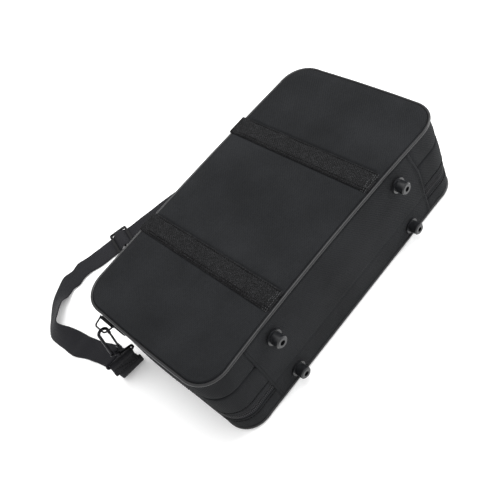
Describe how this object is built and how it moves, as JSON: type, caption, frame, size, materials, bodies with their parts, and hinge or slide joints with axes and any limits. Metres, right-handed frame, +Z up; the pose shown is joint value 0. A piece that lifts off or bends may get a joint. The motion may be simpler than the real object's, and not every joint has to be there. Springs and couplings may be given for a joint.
{
  "type": "clarinet case",
  "caption": "Soft zipped clarinet case with rounded corners, webbing bands and handles, spine feet, a moulded insert and a clip-on shoulder strap.",
  "frame": {"origin": "middle of the face that the case lies on, on the floor", "axes": "+X along the case from the near strap ring to the far one, +Y from the spine to the front with the handles, +Z up"},
  "size_m": [0.477, 0.3911, 0.1144],
  "materials": {
    "black_oxford_cloth": "plain-weave polyester, coated on the back",
    "black_webbing": "flat woven polypropylene",
    "piping_vinyl": "smooth soft vinyl",
    "shell_foam": "cut closed-cell foam",
    "insert_plush": "short plush over moulded foam",
    "lining_plush": "short plush",
    "zip_tape_cloth": "ribbed woven tape",
    "zip_coil_nylon": "extruded nylon",
    "black_zip_metal": "black enamel on zinc",
    "foot_plastic": "moulded, polished",
    "zinc_steel": "zinc plated",
    "adjuster_plastic": "moulded, satin",
    "black_plated_wire": "black nickel plate"
  },
  "bodies": {
    "base": {"shallow_core": "shell_foam", "shallow_face_cloth": "black_oxford_cloth", "shallow_wall_cloth": "black_oxford_cloth", "shallow_zip_tape": "zip_tape_cloth", "shallow_zip_coil": "zip_coil_nylon", "shallow_piping": "piping_vinyl", "shallow_spine_panel": "black_oxford_cloth", "shallow_bands": "black_webbing", "shallow_feet": "foot_plastic", "shallow_foot_screws": "zinc_steel", "shallow_foot_washers": "zinc_steel", "insert_block": "insert_plush"},
    "lid": {"deep_core": "shell_foam", "deep_face_cloth": "black_oxford_cloth", "deep_wall_cloth": "black_oxford_cloth", "deep_zip_tape": "zip_tape_cloth", "deep_zip_coil": "zip_coil_nylon", "deep_piping": "piping_vinyl", "deep_spine_panel": "black_oxford_cloth", "deep_bands": "black_webbing", "deep_feet": "foot_plastic", "deep_foot_screws": "zinc_steel", "deep_foot_washers": "zinc_steel", "deep_lining": "lining_plush", "roof_pad": "lining_plush", "near_ring_tab": "black_webbing", "far_ring_tab": "black_webbing"},
    "shallow_handle": {"shallow_handle": "black_webbing"},
    "deep_handle": {"deep_handle": "black_webbing"},
    "zip_slider_left": {"zip_slider_left": "black_zip_metal"},
    "zip_slider_right": {"zip_slider_right": "black_zip_metal"},
    "pull_left": {"pull_ring_left": "black_zip_metal", "pull_tab_left": "black_zip_metal"},
    "pull_right": {"pull_ring_right": "black_zip_metal", "pull_tab_right": "black_zip_metal"},
    "near_ring": {"near_ring": "black_plated_wire"},
    "far_ring": {"far_ring": "black_plated_wire"},
    "strap": {"strap_webbing": "black_webbing", "strap_adjuster": "adjuster_plastic", "near_strap_loop": "black_webbing", "near_swivel_eye": "black_plated_wire", "near_hook_frame": "black_plated_wire", "far_strap_loop": "black_webbing", "far_swivel_eye": "black_plated_wire", "far_hook_frame": "black_plated_wire"},
    "near_gate": {"near_hook_gate": "black_plated_wire"},
    "far_gate": {"far_hook_gate": "black_plated_wire"}
  },
  "joints": [
    {"name": "lid_hinge", "type": "hinge", "parent": "base", "child": "lid", "pos_m": [0, -0.1016, 0.035], "axis": [1, 0, 0], "range_deg": [0, 110]},
    {"name": "deep_handle_swing", "type": "hinge", "parent": "lid", "child": "deep_handle", "pos_m": [0, 0.1039, 0.1133], "axis": [1, 0, 0], "range_deg": [0, 140]},
    {"name": "shallow_handle_swing", "type": "hinge", "parent": "base", "child": "shallow_handle", "pos_m": [0, 0.1039, 0.0007], "axis": [1, 0, 0], "range_deg": [0, 30]},
    {"name": "zip_left_slide", "type": "slide", "parent": "base", "child": "zip_slider_left", "axis": [-1, 0, 0], "range_m": [0, 0.13]},
    {"name": "zip_right_slide", "type": "slide", "parent": "base", "child": "zip_slider_right", "axis": [1, 0, 0], "range_m": [0, 0.13]},
    {"name": "pull_left_swing", "type": "hinge", "parent": "zip_slider_left", "child": "pull_left", "pos_m": [-0.007, 0.1062, 0.035], "axis": [1, 0, 0], "range_deg": [0, 150]},
    {"name": "pull_right_swing", "type": "hinge", "parent": "zip_slider_right", "child": "pull_right", "pos_m": [0.007, 0.1062, 0.035], "axis": [1, 0, 0], "range_deg": [0, 150]},
    {"name": "near_ring_swing", "type": "hinge", "parent": "lid", "child": "near_ring", "pos_m": [-0.18655, 0.076, 0.088], "axis": [0, -1, 0], "range_deg": [0, 25]},
    {"name": "far_ring_swing", "type": "hinge", "parent": "lid", "child": "far_ring", "pos_m": [0.18655, 0.076, 0.088], "axis": [0, 1, 0], "range_deg": [0, 25]},
    {"name": "strap_swing", "type": "hinge", "parent": "lid", "child": "strap", "pos_m": [0, 0.071, 0.0909], "axis": [1, 0, 0], "range_deg": [0, 60]},
    {"name": "near_gate_hinge", "type": "hinge", "parent": "strap", "child": "near_gate", "pos_m": [-0.19849, 0.071, 0.05453], "axis": [0, -1, 0], "range_deg": [0, 14], "stiffness_Nm_per_rad": 0.02, "springref_deg": -11.46},
    {"name": "far_gate_hinge", "type": "hinge", "parent": "strap", "child": "far_gate", "pos_m": [0.19849, 0.071, 0.05453], "axis": [0, 1, 0], "range_deg": [0, 14], "stiffness_Nm_per_rad": 0.02, "springref_deg": -11.46}
  ]
}
